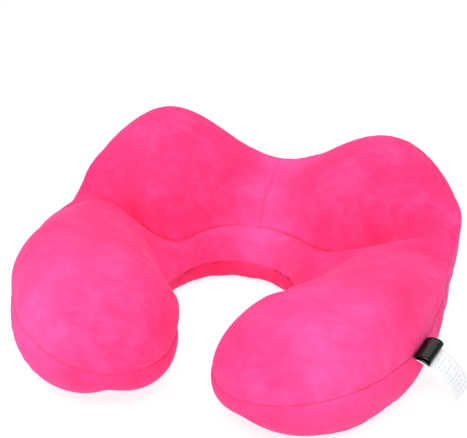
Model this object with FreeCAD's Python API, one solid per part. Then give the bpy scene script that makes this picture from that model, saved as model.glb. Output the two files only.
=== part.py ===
"""U-shaped inflatable neck pillow: velour cover panels, air bladder, zip, valve, tab and label.

Frame: X to the wearer's right, +Y towards the nape, +Z up; Z = 0 is the table under the pillow.
"""
import FreeCAD, Part
import math
import os
from functools import lru_cache

V = FreeCAD.Vector
os.makedirs("parts", exist_ok=True)

# ---- overall form: one row per cut through the pillow, from the back (t = 0) to the arm (t = 1) ----
# t, inner edge x y, outer edge x y, roll height, crease place and height, ridge place and height.
# Places run from -1 at the inner edge to 1 at the outer edge of the cut.
CUTS = [
    (0.0000, 0.0, 60.0, 0.0, 183.5, 58.0, -0.280, 49.0, 0.66, 105.0),
    (0.1667, 27.0, 55.0, 55.0, 184.0, 59.0, -0.380, 50.0, 0.70, 121.0),
    (0.3333, 56.0, 31.0, 142.0, 181.0, 64.0, -0.500, 52.0, 0.73, 151.0),
    (0.5000, 69.0, -2.0, 207.0, 150.0, 72.0, 0.250, 58.0, 0.82, 101.0),
    (0.5833, 70.0, -19.0, 212.0, 111.0, 80.0, 0.780, 72.0, 0.94, 82.0),
    (0.6667, 68.0, -34.0, 212.0, 68.0, 90.0, 0.965, 69.0, 0.985, 62.0),
    (0.8333, 58.0, -56.0, 213.0, -32.0, 110.0, 0.965, 65.0, 0.985, 59.0),
    (0.9167, 49.0, -66.0, 204.0, -90.0, 117.0, 0.965, 66.0, 0.985, 60.0),
    (1.0000, 39.0, -76.0, 183.0, -137.0, 120.0, 0.965, 66.0, 0.985, 60.0),
]
TIP_LENGTH = 101.0        # rounded arm end, beyond the last cut
TIP_TURN = -10.0          # degrees the arm end turns in towards the gap
TIP_CENTRE = 0.47         # height of the tip's centre, of the arm height
TIP_STOP = 1.95           # the panels' tips gather here, just short of the point
CLOTH = 1.5               # velour with its backing
BLADDER_INSET = 7.0       # cover surface to bladder surface
RING = (8.3, 17.6)        # guide lines the ring chamber is wrapped between
BACKREST = (4.2, 7.75)    # and the backrest chamber
SEAM = 0.006              # panels stop this far from a seam's guide line
JOIN = 0.60               # cut where crease and ridge meet at the side

# ---- zip across the back, in a slot of the back panel ----
ZIP_HALF = 95.0
ZIP_Z = 40.0
ZIP_SLOT = 6.0
TAPE_Y = 178.0            # tapes lie against the back panel's inner face
SLIDER_Y = 185.0          # underside of the slider's plate, clear of the cover
PIN_UP = 2.05             # pull's pin above that
TAPE_THICK = 0.8
TAPE_WIDE = 11.0
COIL_WIDE = 3.2
COIL_THICK = 2.2
SLIDER = (11.0, 8.0, 2.4)     # along the zip, across it, proud of the cover
PULL = (24.0, 6.5, 1.6)

# ---- blow valve on the left side ----
VALVE_Y = -14.0
VALVE_Z = 46.0
VALVE_HOLE = 13.0
NECK_OUT = 9.0
NECK_IN = 6.5
CAP_RADIUS = 11.0

# ---- satin tab and care label in the right arm's seam ----
TAB_WIDE = 33.0
LABEL_WIDE = 33.0
TAB_THICK = 1.2
LABEL_THICK = 0.5
TAB_AT = 0.905            # cut of the arm where both are sewn in
# their lines out of the seam, as (outwards, upwards) steps
TAB_RUN = [(0, 1), (5, 2.6), (10, 2.0), (14, -0.6), (14.8, -3.2)]
LABEL_RUN = [(1, -2.6), (8, -4.6), (17, -9), (29, -16.5), (37, -26), (43, -37)]

# The label reaches further right than the valve does left: the shift centres the overall box.
SHIFT = V(-18.0, 3.0, 0.0)


def natural(xs, ys):
    """Natural cubic spline through (xs, ys), returned as a function."""
    n = len(xs)
    h = [xs[i + 1] - xs[i] for i in range(n - 1)]
    diag = [1.0] + [2 * (h[i - 1] + h[i]) for i in range(1, n - 1)] + [1.0]
    rhs = [0.0] + [6 * ((ys[i + 1] - ys[i]) / h[i] - (ys[i] - ys[i - 1]) / h[i - 1])
                   for i in range(1, n - 1)] + [0.0]
    low, up = [0.0] + h[:n - 2] + [0.0], [0.0] + h[1:] + [0.0]
    for i in range(1, n):
        w = low[i] / diag[i - 1]
        diag[i] -= w * up[i - 1]
        rhs[i] -= w * rhs[i - 1]
    m = [0.0] * n
    m[-1] = rhs[-1] / diag[-1]
    for i in range(n - 2, -1, -1):
        m[i] = (rhs[i] - up[i] * m[i + 1]) / diag[i]

    def value(x):
        i = max(0, min(n - 2, sum(1 for v in xs[1:-1] if v <= x)))
        a = (xs[i + 1] - x) / h[i]
        b = 1 - a
        bend = ((a ** 3 - a) * m[i] + (b ** 3 - b) * m[i + 1]) * h[i] ** 2 / 6
        return a * ys[i] + b * ys[i + 1] + bend
    return value


def cut_values():
    """The columns of CUTS as functions of t, mirrored about the middle of the back."""
    out = []
    for k in range(1, 10):
        sign = -1 if k in (1, 3) else 1
        xs = [-c[0] for c in CUTS[:0:-1]] + [c[0] for c in CUTS]
        ys = [sign * c[k] for c in CUTS[:0:-1]] + [c[k] for c in CUTS]
        out.append(natural(xs, ys))
    return out


COLUMNS = cut_values()


def profile(half, h, nc, zc, nr, zr):
    """Fourteen guide points round one cut: 3 and 13 low seams, 6 ridge, 8 crease, 12 inner seam."""
    b = max(0.0, min(1.0, (zr - zc) / 35.0))
    b = b * b * (3 - 2 * b)
    inward = max(0.0, min(1.0, (0.965 - nc) / 0.30))
    inward = inward * inward * (3 - 2 * inward)

    def mix(arm, back, share=b):
        return arm + (back - arm) * share
    w = nc + 1
    pts = [(-0.58, 1.4), (0, -0.5), (0.58, 1.4), (0.90, mix(0.15 * h, 0.13 * zr)),
           (1, mix(0.40 * h, 0.38 * zr)),
           (mix(0.997, 0.965), mix(0.5 * (0.40 * h + zr), 0.70 * zr)), (nr, zr),
           (mix((nr + nc) / 2, nc + 0.25 * (nr - nc)),
            mix((zr + zc) / 2 + 0.15 * (nr - nc) * half, zc + 0.60 * (zr - zc))),
           (nc, zc), (mix(0.68, -1 + 0.78 * w, inward), mix(0.90 * h, h - 0.30 * (h - zc), inward)),
           (mix(0, -1 + 0.45 * w, inward), h), (mix(-0.68, -1 + 0.13 * w, inward), mix(0.88 * h, 0.78 * h)),
           (-1, 0.46 * h), (-0.90, 0.15 * h)]
    return [(n * half, z) for n, z in pts]


@lru_cache(maxsize=None)
def cut(t, inset):
    """Section curve at t as (point(u), centre, direction); u counts the guide points."""
    ix, iy, ox, oy, h, nc, zc, nr, zr = [f(t) for f in COLUMNS]
    half = math.hypot(ox - ix, oy - iy) / 2
    pts = profile(half, h, nc, zc, nr, zr)
    if inset:
        moved = []
        for k, (n, z) in enumerate(pts):
            (na, za), (nb, zb) = pts[k - 1], pts[(k + 1) % 14]
            size = math.hypot(nb - na, zb - za)
            moved.append((n - (zb - za) / size * inset, z + (nb - na) / size * inset))
        pts = moved
    q = [pts[i % 14] for i in range(-4, 19)]
    s = [0.0]
    for i in range(1, len(q)):
        s.append(s[-1] + math.hypot(q[i][0] - q[i - 1][0], q[i][1] - q[i - 1][1]) ** 0.8)
    fn, fz = natural(s, [p[0] for p in q]), natural(s, [p[1] for p in q])
    centre, along = ((ix + ox) / 2, (iy + oy) / 2), ((ox - ix) / 2 / half, (oy - iy) / 2 / half)

    def point(u):
        u = u % 14
        i = int(u)
        w = s[i + 4] + (s[i + 5] - s[i + 4]) * (u - i)
        n, z = fn(w), fz(w)
        return V(centre[0] + n * along[0], centre[1] + n * along[1], z)
    return point, centre, along, h


def skin(t, u, inset=0.0):
    """A point of the pillow's surface, or of the surface `inset` below it; |t| > 1 is the arm end."""
    point, centre, along, h = cut(min(abs(t), 1.0), inset)
    p = point(u)
    if abs(t) > 1:
        w = (abs(t) - 1) * math.pi / 2
        turn = math.atan2(along[1], along[0]) - math.pi / 2 + math.radians(TIP_TURN)
        reach = TIP_LENGTH - inset
        c = V(centre[0], centre[1], TIP_CENTRE * h)
        p = c + (p - c) * math.cos(w) + V(math.cos(turn), math.sin(turn), 0) * reach * math.sin(w)
    return V(math.copysign(1, t) * p.x, p.y, p.z) if t else p


def rows(t0, t1, step=1 / 24.0):
    """Values of t from t0 to t1, closer together round the arm ends."""
    out = []
    edges = sorted({t0, t1} | {e for e in (-1.0, 0.0, 1.0) if t0 < e < t1})
    for a, b in zip(edges, edges[1:]):
        n = max(2, int(math.ceil((b - a) / (step if max(abs(a), abs(b)) <= 1 else 0.095))))
        out += [a + (b - a) * k / n for k in range(n)]
    return out + [edges[-1]]


def seam_to_seam(t, u0, u1, n, inset=0.0):
    """n evenly spaced points of the surface at t, from the line u0 to the line u1."""
    count = int((u1 - u0) * 12) + 1
    fine = [skin(t, u0 + (u1 - u0) * k / count, inset) for k in range(count + 1)]
    run = [0.0]
    for p, q in zip(fine, fine[1:]):
        run.append(run[-1] + p.distanceToPoint(q))
    out, k = [], 0
    for i in range(n):
        goal = run[-1] * i / (n - 1)
        while k < count - 1 and run[k + 1] < goal:
            k += 1
        out.append(fine[k] + (fine[k + 1] - fine[k]) * ((goal - run[k]) / (run[k + 1] - run[k])))
    return out


def surface(points):
    s = Part.BSplineSurface()
    s.interpolate(points)
    return s


def rims(s):
    u0, u1, v0, v1 = s.bounds()
    return [s.uIso(u0).toShape(), s.uIso(u1).toShape(), s.vIso(v0).toShape(), s.vIso(v1).toShape()]


def solid_from(faces):
    shell = Part.makeShell(faces)
    shell.sewShape()
    body = Part.makeSolid(shell)
    if body.Volume < 0:
        body.reverse()
    return body


def panel(t0, t1, u0, u1, n=13):
    """A cover panel: cloth of even thickness between two cuts and two seam lines."""
    ts = rows(t0, t1)
    outer = surface([seam_to_seam(t, u0, u1, n) for t in ts])
    inner = surface([seam_to_seam(t, u0, u1, n, CLOTH) for t in ts])
    sides = [Part.makeRuledSurface(a, b) for a, b in zip(rims(outer), rims(inner))]
    return solid_from([outer.toShape(), inner.toShape()] + sides)


def chamber(t0, t1, u0, u1, n=25):
    """A bladder chamber: the inset surface from u0 round to u1, closed by a flat web."""
    grid = [seam_to_seam(t, u0, u1, n, BLADDER_INSET) for t in rows(t0, t1)]
    wall = surface(grid)
    start, stop, first, last = rims(wall)
    web = Part.makeRuledSurface(first, last)
    ends = [Part.Face(Part.Wire([arc, Part.makeLine(r[0], r[-1])]))
            for arc, r in ((start, grid[0]), (stop, grid[-1]))]
    return solid_from([wall.toShape(), web] + ends)


def box(x0, x1, y0, y1, z0, z1):
    return Part.makeBox(x1 - x0, y1 - y0, z1 - z0, V(x0, y0, z0))


def rod(radius, length, start, direction):
    return Part.makeCylinder(radius, length, start, direction)


def side_x():
    """How far out the left side reaches at the valve."""
    nearest = min(range(280, 400), key=lambda k: abs(skin(k / 400.0, 4.0).y - VALVE_Y))
    return skin(nearest / 400.0, 4.0).x


# ---- cover ----
def top_panel():
    return panel(-TIP_STOP, TIP_STOP, 8 + SEAM, 12 - SEAM)


def neck_band():
    return panel(-TIP_STOP, TIP_STOP, 12 + SEAM, 13 - SEAM, 5)


def bottom_panel():
    return panel(-TIP_STOP, TIP_STOP, 13 + SEAM, 17 - SEAM).cut(box(-300, 300, -300, 300, -20, 0))


def side_band(side):
    band = panel(JOIN + 0.0005, TIP_STOP, 3 + SEAM, 8 - 5 * SEAM)
    return band if side > 0 else band.mirror(V(0, 0, 0), V(1, 0, 0))


def side_band_left():
    hole = rod(VALVE_HOLE, 40, V(-side_x() - 20, VALVE_Y, VALVE_Z), V(1, 0, 0))
    return side_band(-1).cut(hole)


def back_panel():
    slot = box(-ZIP_HALF - 5, ZIP_HALF + 5, 170, 195, ZIP_Z - ZIP_SLOT / 2, ZIP_Z + ZIP_SLOT / 2)
    return panel(-JOIN, JOIN, 3 + SEAM, 6 - SEAM).cut(slot)


def backrest_front(side):
    front = panel(0.0005, JOIN, 6 + SEAM, 8 - 2 * SEAM, 9)
    return front if side > 0 else front.mirror(V(0, 0, 0), V(1, 0, 0))


# ---- bladder ----
def bladder_ring():
    pocket = rod(NECK_OUT + 6, 30, V(-side_x(), VALVE_Y, VALVE_Z), V(1, 0, 0))
    return chamber(-1.9, 1.9, *RING).cut(pocket)


def bladder_backrest():
    return chamber(-JOIN + 0.03, JOIN - 0.03, *BACKREST)


# ---- zip ----
def zip_tape(side):
    z0 = ZIP_Z + side * (COIL_WIDE / 2 + 0.1)
    z1 = ZIP_Z + side * (COIL_WIDE / 2 + TAPE_WIDE)
    return box(-ZIP_HALF - 8, ZIP_HALF + 8, TAPE_Y, TAPE_Y + TAPE_THICK, min(z0, z1), max(z0, z1))


def zip_coil():
    strip = box(-ZIP_HALF, ZIP_HALF, TAPE_Y - 0.1, TAPE_Y - 0.1 + COIL_THICK,
                ZIP_Z - COIL_WIDE / 2, ZIP_Z + COIL_WIDE / 2)
    return strip.makeFillet(0.7, [e for e in strip.Edges if e.Length > 100])


def zip_stop(side):
    x = side * (ZIP_HALF + 2.2)
    stop = box(x - 1.7, x + 1.7, TAPE_Y + TAPE_THICK + 0.1, TAPE_Y + 3.0, ZIP_Z - 2.6, ZIP_Z + 2.6)
    return stop.makeFillet(0.5, stop.Edges)


def slider_x():
    return ZIP_HALF - SLIDER[0] / 2


def zip_slider():
    long, wide, high = SLIDER
    x, y = slider_x(), SLIDER_Y
    plate = box(x - long / 2, x + long / 2, y, y + high - 1.0, ZIP_Z - wide / 2, ZIP_Z + wide / 2)
    plate = plate.makeFillet(1.6, [e for e in plate.Edges if abs(e.Length - (high - 1.0)) < 0.01])
    wedge = box(x - 3.4, x + 3.4, y - 4.4, y + 0.2, ZIP_Z - 1.6, ZIP_Z + 1.6)
    bridge = box(x - 4.0, x + 4.0, y, y + 3.6, ZIP_Z - 1.2, ZIP_Z + 1.2)
    eye = box(x - 2.0, x + 2.0, y + high - 1.0, y + 2.7, ZIP_Z - 3, ZIP_Z + 3)
    return plate.fuse([wedge, bridge]).cut(eye).removeSplitter()


def zip_pull():
    long, wide, thick = PULL
    x, y = slider_x(), SLIDER_Y + PIN_UP
    pin = rod(0.5, 2 * 2.6, V(x, y, ZIP_Z - 2.6), V(0, 0, 1))
    cheeks = [box(x - 0.45, x + 6.5, y - 0.45, y + 0.45, ZIP_Z + s * 2.1 - 0.6, ZIP_Z + s * 2.1 + 0.6)
              for s in (-1, 1)]
    tab = box(x + 6.0, x + long, y - 0.45, y - 0.45 + thick, ZIP_Z - wide / 2, ZIP_Z + wide / 2)
    tab = tab.makeFillet(1.4, [e for e in tab.Edges if abs(e.Length - thick) < 0.01])
    hole = rod(1.4, 10, V(x + long - 4, y - 5, ZIP_Z), V(0, 1, 0))
    return tab.cut(hole).fuse([pin] + cheeks).removeSplitter()


# ---- valve, along -X on the left side ----
def valve_body():
    x = -side_x()
    flange = rod(VALVE_HOLE + 1.5, 1.2, V(x + BLADDER_INSET + 0.6, VALVE_Y, VALVE_Z), V(1, 0, 0))
    neck = rod(NECK_OUT, 14, V(x - 1.0, VALVE_Y, VALVE_Z), V(1, 0, 0))
    bore = rod(NECK_IN, 30, V(x - 8, VALVE_Y, VALVE_Z), V(1, 0, 0))
    ear = box(x - 1.0, x - 0.2, VALVE_Y - 4, VALVE_Y + 4, VALVE_Z - CAP_RADIUS - 5.8, VALVE_Z - 8)
    knuckle = box(x - 2.9, x - 0.2, VALVE_Y - 4, VALVE_Y + 4,
                  VALVE_Z - CAP_RADIUS - 5.8, VALVE_Z - CAP_RADIUS - 3.8)
    return flange.fuse([neck, ear, knuckle]).cut(bore).removeSplitter()


def valve_flap():
    return rod(NECK_IN - 0.3, 0.8, V(-side_x() + 11.0, VALVE_Y, VALVE_Z), V(1, 0, 0))


def valve_cap():
    x = -side_x() - 1.3
    disc = rod(CAP_RADIUS, 2.0, V(x - 2.0, VALVE_Y, VALVE_Z), V(1, 0, 0))
    disc = disc.makeFillet(0.7, [min(disc.Edges, key=lambda e: e.CenterOfMass.x)])
    plug = rod(NECK_IN - 0.9, 4.0, V(x - 0.2, VALVE_Y, VALVE_Z), V(1, 0, 0))
    core = rod(NECK_IN - 2.2, 6.0, V(x, VALVE_Y, VALVE_Z), V(1, 0, 0))
    lip = box(x - 2.0, x - 0.6, VALVE_Y - 4, VALVE_Y + 4,
              VALVE_Z + CAP_RADIUS - 1.5, VALVE_Z + CAP_RADIUS + 3)
    strap = box(x - 1.6, x - 0.4, VALVE_Y - 3, VALVE_Y + 3,
                VALVE_Z - CAP_RADIUS - 3.0, VALVE_Z - CAP_RADIUS + 1.5)
    bead = rod(0.6, 6, V(x - 1.0, VALVE_Y - 3, VALVE_Z - CAP_RADIUS - 2.7), V(0, 1, 0))
    return disc.fuse([plug.cut(core), lip, strap, bead]).removeSplitter()


# ---- tab and care label, sewn into the right arm's outer seam ----
def strip(t, wide, run, thick):
    """A ribbon from the seam at t: `run` is its line as (outwards, upwards) steps."""
    a, b = skin(t - 0.01, 8.0), skin(t + 0.01, 8.0)
    root = (a + b) * 0.5
    along = (b - a).normalize()
    along = V(along.x, along.y, 0).normalize()
    out = V(-along.y, along.x, 0)
    if out.x < 0:
        out = out * -1
    line = [root + out * (o + 1.0) + V(0, 0, z) for o, z in run]
    c = Part.BSplineCurve()
    c.interpolate(line)
    edge = c.toShape()
    face = edge.extrude(along * wide).translated(along * (-wide / 2))
    return face.makeOffsetShape(thick, 0.01, fill=True)


def side_tab():
    return strip(TAB_AT, TAB_WIDE, TAB_RUN, TAB_THICK)


def care_label():
    return strip(TAB_AT, LABEL_WIDE, LABEL_RUN, LABEL_THICK)


PARTS = {
    "top_panel": top_panel(),
    "neck_band": neck_band(),
    "bottom_panel": bottom_panel(),
    "side_band_left": side_band_left(),
    "side_band_right": side_band(1),
    "back_panel": back_panel(),
    "backrest_front_left": backrest_front(-1),
    "backrest_front_right": backrest_front(1),
    "bladder_ring": bladder_ring(),
    "bladder_backrest": bladder_backrest(),
    "zip_tape_upper": zip_tape(1),
    "zip_tape_lower": zip_tape(-1),
    "zip_coil": zip_coil(),
    "zip_stop_left": zip_stop(-1),
    "zip_stop_right": zip_stop(1),
    "zip_slider": zip_slider(),
    "zip_pull": zip_pull(),
    "valve_body": valve_body(),
    "valve_flap": valve_flap(),
    "valve_cap": valve_cap(),
    "side_tab": side_tab(),
    "care_label": care_label(),
}

for name, shape in PARTS.items():
    shape = shape.translated(SHIFT)
    shape.exportStep("parts/%s.step" % name)
    bb = shape.BoundBox
    print("%-22s valid=%s solids=%d vol=%.1f cm3  x %.1f %.1f  y %.1f %.1f  z %.1f %.1f" % (
        name, shape.isValid(), len(shape.Solids), shape.Volume / 1000.0,
        bb.XMin, bb.XMax, bb.YMin, bb.YMax, bb.ZMin, bb.ZMax))
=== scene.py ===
import math
import bmesh
import bpy
import numpy as np
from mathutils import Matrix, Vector, noise
from mathutils.kdtree import KDTree


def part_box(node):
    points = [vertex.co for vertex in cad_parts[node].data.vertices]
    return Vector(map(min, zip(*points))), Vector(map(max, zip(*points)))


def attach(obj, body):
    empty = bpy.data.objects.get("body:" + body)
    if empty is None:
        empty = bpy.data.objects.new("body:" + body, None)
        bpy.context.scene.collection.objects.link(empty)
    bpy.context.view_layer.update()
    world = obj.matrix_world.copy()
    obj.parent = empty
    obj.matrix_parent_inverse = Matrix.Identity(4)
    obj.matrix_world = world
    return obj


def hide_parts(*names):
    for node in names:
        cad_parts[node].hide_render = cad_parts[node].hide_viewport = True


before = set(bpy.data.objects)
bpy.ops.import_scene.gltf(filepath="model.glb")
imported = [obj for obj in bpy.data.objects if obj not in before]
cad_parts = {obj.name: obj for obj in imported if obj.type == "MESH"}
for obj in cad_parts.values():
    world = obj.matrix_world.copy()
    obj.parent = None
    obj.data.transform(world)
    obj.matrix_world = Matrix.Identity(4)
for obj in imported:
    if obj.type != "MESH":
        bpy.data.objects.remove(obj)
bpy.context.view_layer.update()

mm = 0.001
scene = bpy.context.scene
print("frame loaded")


# ---------- small helpers ----------
def hexColour(code):
    parts = [int(code[i:i + 2], 16) / 255 for i in (1, 3, 5)]
    return tuple(p / 12.92 if p <= 0.04045 else ((p + 0.055) / 1.055) ** 2.4 for p in parts) + (1.0,)


def addNode(tree, kind, inputs=None, **settings):
    node = tree.nodes.new(kind)
    for name, value in settings.items():
        setattr(node, name, value)
    for name, value in (inputs or {}).items():
        if isinstance(value, bpy.types.NodeSocket):
            tree.links.new(value, node.inputs[name])
        else:
            node.inputs[name].default_value = value
    return node


def newMaterial(name):
    material = bpy.data.materials.new(name)
    material.use_nodes = True
    material.node_tree.nodes.clear()
    return material, material.node_tree


def closeMaterial(tree, shader):
    addNode(tree, "ShaderNodeOutputMaterial", {"Surface": shader.outputs[0]})


def smooth(x):
    x = np.clip(x, 0.0, 1.0)
    return x * x * (3 - 2 * x)


def addPiece(name, points, faces, material, body="pillow"):
    mesh = bpy.data.meshes.new(name)
    mesh.from_pydata([tuple(p) for p in points], [], [tuple(int(i) for i in f) for f in faces])
    mesh.validate()
    mesh.polygons.foreach_set("use_smooth", [True] * len(mesh.polygons))
    mesh.update()
    piece = bpy.data.objects.new(name, mesh)
    scene.collection.objects.link(piece)
    if material:
        mesh.materials.append(material)
    if body:
        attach(piece, body)
    return piece


# ---------- materials ----------
# Brushed polyester velour on a knit backing: a short dense pile that is matt face on, painted paler where it turns
# away as a painted sheen, cloudy in the pile's own mottling, with painted highlights laid over set spots.
# painted highlights: the pile is painted lighter on the arm ends, over the back of the neck and in the saddle (mm)
# edge is the painted sheen colour mixed in where the surface turns away from view
velourLook = {"edge": "#ff6cc0", "paintedHighlight": "#ff5fae",
              "paintedHighlightSpots": [((-140, -120, 70), 95), ((105, -125, 70), 95), ((-10, 95, 60), 70), ((5, 170, 100), 60)],
              "cloudMm": 38, "strokeMm": 16, "pileMm": 1.1, "pileDepthMm": 0.22}


def makeVelour(name, deep, main, light):
    look = velourLook
    material, tree = newMaterial(name)
    place = addNode(tree, "ShaderNodeTexCoord").outputs["Object"]
    cloud = addNode(tree, "ShaderNodeTexNoise", {"Vector": place, "Scale": 1 / (look["cloudMm"] * mm),
                                                 "Detail": 3.0, "Roughness": 0.55})
    stretched = addNode(tree, "ShaderNodeMapping", {"Vector": place, "Scale": (1.0, 2.2, 1.6)})
    stroke = addNode(tree, "ShaderNodeTexNoise", {"Vector": stretched.outputs[0],
                                                  "Scale": 1 / (look["strokeMm"] * mm),
                                                  "Detail": 4.0, "Roughness": 0.6, "Distortion": 0.6})
    both = addNode(tree, "ShaderNodeMix", {"Factor": 0.40, "A": cloud.outputs[0], "B": stroke.outputs[0]})
    ramp = addNode(tree, "ShaderNodeValToRGB", {"Fac": both.outputs[0]})
    stops = ramp.color_ramp.elements
    stops[0].position, stops[0].color = 0.33, hexColour(deep)
    stops[1].position, stops[1].color = 0.67, hexColour(light)
    middle = stops.new(0.50)
    middle.color = hexColour(main)
    paintedHighlightSpots = None
    for spot, reach in look["paintedHighlightSpots"]:
        gap = addNode(tree, "ShaderNodeVectorMath", {0: place, 1: [v * mm for v in spot]}, operation="DISTANCE")
        near = addNode(tree, "ShaderNodeMapRange", {"Value": gap.outputs["Value"], "From Min": reach * mm,
                                                    "From Max": 0.2 * reach * mm}, interpolation_type="SMOOTHSTEP")
        paintedHighlightSpots = near.outputs[0] if paintedHighlightSpots is None else addNode(
            tree, "ShaderNodeMath", {0: paintedHighlightSpots, 1: near.outputs[0]}, operation="MAXIMUM").outputs[0]
    # painted highlight: a lighter pink laid over those spots, broken up by the mottling
    share = addNode(tree, "ShaderNodeMath", {0: paintedHighlightSpots, 1: both.outputs[0]}, operation="MULTIPLY")
    paintedHighlight = addNode(tree, "ShaderNodeMix", {"Factor": share.outputs[0], "A": ramp.outputs[0],
                                              "B": hexColour(look["paintedHighlight"])}, data_type="RGBA")
    # painted sheen: a paler pink mixed into the colour where the surface turns away from view
    paintedSheenFacing = addNode(tree, "ShaderNodeLayerWeight", {"Blend": 0.30})
    rim = addNode(tree, "ShaderNodeMath", {0: paintedSheenFacing.outputs["Facing"], 1: 0.22}, operation="MULTIPLY")
    colour = addNode(tree, "ShaderNodeMix", {"Factor": rim.outputs[0], "A": paintedHighlight.outputs["Result"],
                                             "B": hexColour(look["edge"])}, data_type="RGBA")
    # real pile hairs are about 0.05 mm across; they are drawn as 1.1 mm tufts so that they show
    pile = addNode(tree, "ShaderNodeTexNoise", {"Vector": place, "Scale": 1 / (look["pileMm"] * mm),
                                                "Detail": 2.0, "Roughness": 0.7})
    lift = addNode(tree, "ShaderNodeMath", {0: stroke.outputs[0], 1: 0.7}, operation="MULTIPLY")
    height = addNode(tree, "ShaderNodeMath", {0: pile.outputs[0], 1: lift.outputs[0]}, operation="ADD")
    bump = addNode(tree, "ShaderNodeBump", {"Height": height.outputs[0], "Strength": 0.55,
                                            "Distance": look["pileDepthMm"] * mm})
    rough = addNode(tree, "ShaderNodeMapRange", {"Value": stroke.outputs[0], "To Min": 0.82, "To Max": 0.98})
    shader = addNode(tree, "ShaderNodeBsdfPrincipled",
                     {"Base Color": colour.outputs["Result"], "Roughness": rough.outputs[0], "IOR": 1.46,
                      "Specular IOR Level": 0.18, "Sheen Weight": 0.22, "Sheen Roughness": 0.40,
                      "Sheen Tint": hexColour("#ff86d2"), "Normal": bump.outputs[0]})
    closeMaterial(tree, shader)
    return material


def makePlastic(name, base, roughness, ior=1.5, speckMm=0.6, depthMm=0.02, transmission=0.0):
    material, tree = newMaterial(name)
    place = addNode(tree, "ShaderNodeTexCoord").outputs["Object"]
    speck = addNode(tree, "ShaderNodeTexNoise", {"Vector": place, "Scale": 1 / (speckMm * mm), "Detail": 2.0})
    tint = addNode(tree, "ShaderNodeMix", {"Factor": speck.outputs[0], "A": hexColour(base[0]),
                                           "B": hexColour(base[1])}, data_type="RGBA")
    bump = addNode(tree, "ShaderNodeBump", {"Height": speck.outputs[0], "Strength": 0.5,
                                            "Distance": depthMm * mm})
    wear = addNode(tree, "ShaderNodeMapRange", {"Value": speck.outputs[0], "To Min": roughness * 0.85,
                                                "To Max": roughness * 1.2})
    closeMaterial(tree, addNode(tree, "ShaderNodeBsdfPrincipled", {
        "Base Color": tint.outputs["Result"], "Roughness": wear.outputs[0], "IOR": ior,
        "Transmission Weight": transmission, "Normal": bump.outputs[0]}))
    return material


def makeWeave(name, base, threadMm, depthMm, roughness, sheen=0.0, specular=0.5):
    material, tree = newMaterial(name)
    place = addNode(tree, "ShaderNodeTexCoord").outputs["UV"]
    weft = addNode(tree, "ShaderNodeTexWave", {"Vector": place, "Scale": 0.159 / (threadMm * mm), "Distortion": 0.4,
                                               "Detail": 1.0}, bands_direction="X")
    warp = addNode(tree, "ShaderNodeTexWave", {"Vector": place, "Scale": 0.159 / (threadMm * mm), "Distortion": 0.4,
                                               "Detail": 1.0}, bands_direction="Y")
    cross = addNode(tree, "ShaderNodeMath", {0: weft.outputs[1], 1: warp.outputs[1]}, operation="MULTIPLY")
    tint = addNode(tree, "ShaderNodeMix", {"Factor": cross.outputs[0], "A": hexColour(base[0]),
                                           "B": hexColour(base[1])}, data_type="RGBA")
    bump = addNode(tree, "ShaderNodeBump", {"Height": cross.outputs[0], "Strength": 0.6,
                                            "Distance": depthMm * mm})
    wear = addNode(tree, "ShaderNodeMapRange", {"Value": cross.outputs[0], "To Min": roughness,
                                                "To Max": roughness * 1.15})
    closeMaterial(tree, addNode(tree, "ShaderNodeBsdfPrincipled", {
        "Base Color": tint.outputs["Result"], "Roughness": wear.outputs[0], "Sheen Weight": sheen,
        "Specular IOR Level": specular, "Normal": bump.outputs[0]}))
    return material


def makeEnamel():
    # die-cast zinc sprayed in the cloth's pink: glossy paint, rubbed through to grey metal in flecks
    material, tree = newMaterial("enamelledZinc")
    place = addNode(tree, "ShaderNodeTexCoord").outputs["Object"]
    grain = addNode(tree, "ShaderNodeTexNoise", {"Vector": place, "Scale": 1 / (0.9 * mm), "Detail": 4.0})
    bare = addNode(tree, "ShaderNodeMapRange", {"Value": grain.outputs[0], "From Min": 0.66, "From Max": 0.70})
    tint = addNode(tree, "ShaderNodeMix", {"Factor": bare.outputs[0], "A": hexColour("#e5317a"),
                                           "B": hexColour("#b9babc")}, data_type="RGBA")
    rough = addNode(tree, "ShaderNodeMapRange", {"Value": grain.outputs[0], "To Min": 0.24, "To Max": 0.40})
    bump = addNode(tree, "ShaderNodeBump", {"Height": grain.outputs[0], "Strength": 0.3, "Distance": 0.02 * mm})
    closeMaterial(tree, addNode(tree, "ShaderNodeBsdfPrincipled", {
        "Base Color": tint.outputs["Result"], "Metallic": bare.outputs[0], "Roughness": rough.outputs[0],
        "Coat Weight": 0.4, "Coat Roughness": 0.1, "Normal": bump.outputs[0]}))
    return material


velour = makeVelour("brushedVelour", "#f22e6b", "#f93779", "#fe488b")
# the same cloth painted deeper as painted shade on the side bands, and deeper still as painted shadow on the neck
# wall
shadedBandVelour = makeVelour("velourPaintedShade", "#ee2b66", "#f43475", "#fa4084")
# painted shadow: the neck wall under the top is made a darker red
neckShadowVelour = makeVelour("velourPaintedShadow", "#d21c4c", "#dc2357", "#e62d64")
panelCloth = {"sideBandLeft": shadedBandVelour, "sideBandRight": shadedBandVelour, "neckBand": neckShadowVelour}
# sewing thread, spun polyester: matt, a shade deeper than the pile
threadStuff = makeWeave("spunThread", ("#b81a4c", "#cf2659"), 0.6, 0.05, 0.8, sheen=0.3)
# woven polyester zip tape: flat herringbone with a dull shine
tapeStuff = makeWeave("wovenZipTape", ("#d81f5f", "#ef3f7f"), 0.9, 0.08, 0.7, sheen=0.2)
# nylon monofilament coil: slightly waxy and see-through at the edges
coilStuff = makePlastic("nylonCoil", ("#e0306e", "#ef5088"), 0.38, 1.53)
# calendered thermoplastic film, welded: slick, milky and slightly uneven
filmStuff = makePlastic("weldedBladderFilm", ("#c9d3da", "#dfe7ec"), 0.3, 1.49, speckMm=9, depthMm=0.3)
# soft moulded vinyl: satin gloss from a polished tool
valveStuff = makePlastic("mouldedVinyl", ("#dfe6ea", "#f1f5f7"), 0.34, 1.52, speckMm=2.0, depthMm=0.03)
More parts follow.
